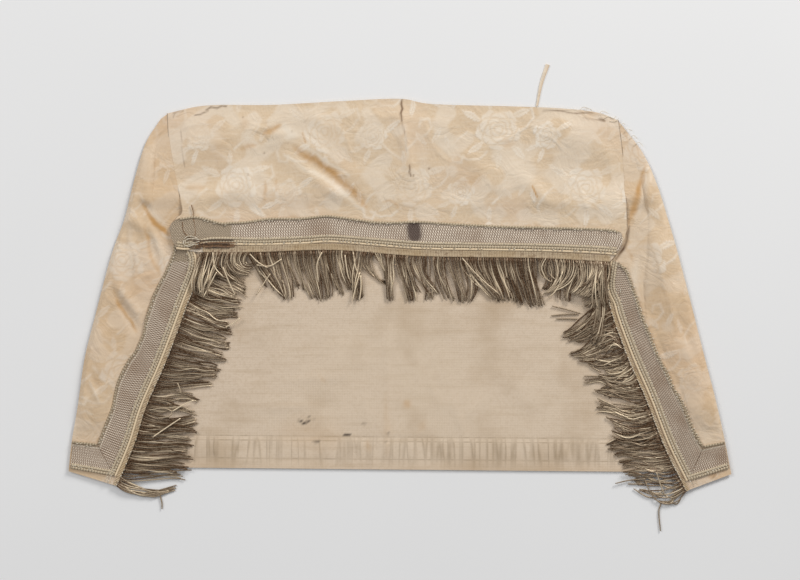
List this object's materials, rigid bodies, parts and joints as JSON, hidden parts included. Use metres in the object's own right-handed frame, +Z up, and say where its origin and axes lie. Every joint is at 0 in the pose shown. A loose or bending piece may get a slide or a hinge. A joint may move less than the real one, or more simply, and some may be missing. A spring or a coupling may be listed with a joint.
{
  "type": "cantor stand cloth",
  "caption": "Damask cover for a sloping reading stand, laid flat: short front panel, long side panels edged in metal lace and bullion fringe, plain cotton back.",
  "frame": {"origin": "on the underside of the back panel where the cloth lies on the surface, at the middle of its width and a little above the middle of its length", "axes": "+X to the right across the cloth, +Y towards its closed top edge, +Z up from the surface it lies on"},
  "size_m": [0.7018, 0.4936, 0.0086],
  "materials": {
    "cotton": "plain-woven cotton, aged beige, matt",
    "silk_damask": "woven cream silk damask with tonal flowers, satin sheen",
    "metal_lace": "flat woven metal-thread lace, tarnished silver-grey",
    "bullion": "twisted metal-wrapped cord, dark and tarnished, with bright glints"
  },
  "bodies": {
    "root": {"back_panel": "cotton", "front_panel": "silk_damask", "left_panel": "silk_damask", "right_panel": "silk_damask", "loose_tape": "silk_damask", "front_lace": "metal_lace", "left_lace": "metal_lace", "right_lace": "metal_lace", "left_hem_lace": "metal_lace", "right_hem_lace": "metal_lace", "front_fringe": "bullion", "left_fringe": "bullion", "right_fringe": "bullion"}
  },
  "joints": []
}
